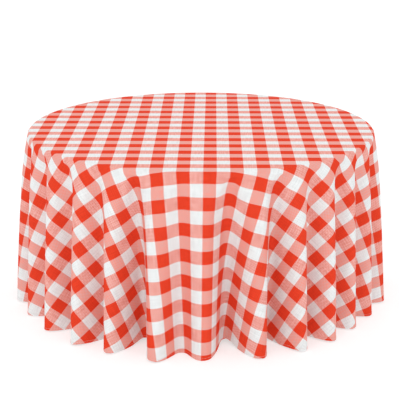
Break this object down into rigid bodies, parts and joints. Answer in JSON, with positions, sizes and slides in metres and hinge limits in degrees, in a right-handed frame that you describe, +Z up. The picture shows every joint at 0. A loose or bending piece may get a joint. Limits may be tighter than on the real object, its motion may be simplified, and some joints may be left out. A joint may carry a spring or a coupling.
{
  "type": "tablecloth on folding table",
  "caption": "Round folding banquet table with folding leg frames under a floor-length round check tablecloth that hangs in deep folds and lifts off.",
  "frame": {"origin": "on the floor, below the middle of the table", "axes": "+Z up; -Y faces the viewer; X runs along the leg pivot tubes, +X to the viewer's right"},
  "size_m": [1.6948, 1.6948, 0.764],
  "materials": {
    "check_cloth": "woven polyester, red and white buffalo check",
    "hem_cloth": "double-turned stitched hem of the same cloth",
    "plywood": "clear-lacquered birch plywood",
    "edge_vinyl": "extruded vinyl edge moulding",
    "hardwood": "planed hardwood",
    "painted_steel": "black hammered powder coat",
    "bracket_zinc": "zinc-plated pressed steel",
    "fastener_zinc": "zinc-plated steel",
    "foot_rubber": "moulded black rubber"
  },
  "bodies": {
    "table": {"cross_runner_front": "hardwood", "cross_runner_front_screw_1": "fastener_zinc", "cross_runner_front_screw_2": "fastener_zinc", "cross_runner_rear": "hardwood", "cross_runner_rear_screw_1": "fastener_zinc", "cross_runner_rear_screw_2": "fastener_zinc", "edge_moulding": "edge_vinyl", "front_left_pivot_strap": "bracket_zinc", "front_left_pivot_strap_screw_1": "fastener_zinc", "front_left_pivot_strap_screw_2": "fastener_zinc", "front_right_pivot_strap": "bracket_zinc", "front_right_pivot_strap_screw_1": "fastener_zinc", "front_right_pivot_strap_screw_2": "fastener_zinc", "front_stay_bracket": "bracket_zinc", "front_stay_bracket_screw_1": "fastener_zinc", "front_stay_bracket_screw_2": "fastener_zinc", "front_upper_stay_pin": "fastener_zinc", "long_runner_left": "hardwood", "long_runner_left_screw_1": "fastener_zinc", "long_runner_left_screw_2": "fastener_zinc", "long_runner_left_screw_3": "fastener_zinc", "long_runner_right": "hardwood", "long_runner_right_screw_1": "fastener_zinc", "long_runner_right_screw_2": "fastener_zinc", "long_runner_right_screw_3": "fastener_zinc", "rear_left_pivot_strap": "bracket_zinc", "rear_left_pivot_strap_screw_1": "fastener_zinc", "rear_left_pivot_strap_screw_2": "fastener_zinc", "rear_right_pivot_strap": "bracket_zinc", "rear_right_pivot_strap_screw_1": "fastener_zinc", "rear_right_pivot_strap_screw_2": "fastener_zinc", "rear_stay_bracket": "bracket_zinc", "rear_stay_bracket_screw_1": "fastener_zinc", "rear_stay_bracket_screw_2": "fastener_zinc", "rear_upper_stay_pin": "fastener_zinc", "tabletop_panel": "plywood"},
    "front_leg_frame": {"front_crossbar": "painted_steel", "front_left_foot_cap": "foot_rubber", "front_left_leg": "painted_steel", "front_lower_stay_pin": "fastener_zinc", "front_pivot_tube": "painted_steel", "front_right_foot_cap": "foot_rubber", "front_right_leg": "painted_steel", "front_stay_lug": "painted_steel"},
    "rear_leg_frame": {"rear_crossbar": "painted_steel", "rear_left_foot_cap": "foot_rubber", "rear_left_leg": "painted_steel", "rear_lower_stay_pin": "fastener_zinc", "rear_pivot_tube": "painted_steel", "rear_right_foot_cap": "foot_rubber", "rear_right_leg": "painted_steel", "rear_stay_lug": "painted_steel"},
    "front_upper_link": {"front_stay_rivet": "fastener_zinc", "front_upper_stay": "bracket_zinc"},
    "front_lower_link": {"front_lower_stay": "bracket_zinc"},
    "rear_upper_link": {"rear_stay_rivet": "fastener_zinc", "rear_upper_stay": "bracket_zinc"},
    "rear_lower_link": {"rear_lower_stay": "bracket_zinc"},
    "cloth": {"tablecloth": "check_cloth", "hem": "hem_cloth"}
  },
  "joints": [
    {"name": "front_leg_fold", "type": "hinge", "parent": "table", "child": "front_leg_frame", "pos_m": [0, -0.46, 0.6992], "axis": [1, 0, 0], "range_deg": [0, 93]},
    {"name": "front_upper_stay_turn", "type": "hinge", "parent": "table", "child": "front_upper_link", "pos_m": [0, -0.12, 0.7217], "axis": [1, 0, 0], "range_deg": [-30.66, 0]},
    {"name": "front_lower_stay_turn", "type": "hinge", "parent": "front_leg_frame", "child": "front_lower_link", "pos_m": [0, -0.44643, 0.52826], "axis": [1, 0, 0], "range_deg": [0, 56.36]},
    {"name": "rear_leg_fold", "type": "hinge", "parent": "table", "child": "rear_leg_frame", "pos_m": [0, 0.46, 0.6992], "axis": [-1, 0, 0], "range_deg": [0, 93]},
    {"name": "rear_upper_stay_turn", "type": "hinge", "parent": "table", "child": "rear_upper_link", "pos_m": [0, 0.12, 0.7217], "axis": [-1, 0, 0], "range_deg": [-30.66, 0]},
    {"name": "rear_lower_stay_turn", "type": "hinge", "parent": "rear_leg_frame", "child": "rear_lower_link", "pos_m": [0, 0.44643, 0.52826], "axis": [-1, 0, 0], "range_deg": [0, 56.36]},
    {"name": "cloth_lift", "type": "slide", "parent": "table", "child": "cloth", "axis": [0, 0, 1], "range_m": [0, 0.85]}
  ],
  "couplings": [
    {"joint": "front_upper_stay_turn", "follows": "front_leg_fold", "ratio": -0.32959},
    {"joint": "front_lower_stay_turn", "follows": "front_leg_fold", "ratio": 0.6059},
    {"joint": "rear_upper_stay_turn", "follows": "rear_leg_fold", "ratio": -0.32959},
    {"joint": "rear_lower_stay_turn", "follows": "rear_leg_fold", "ratio": 0.6059}
  ]
}
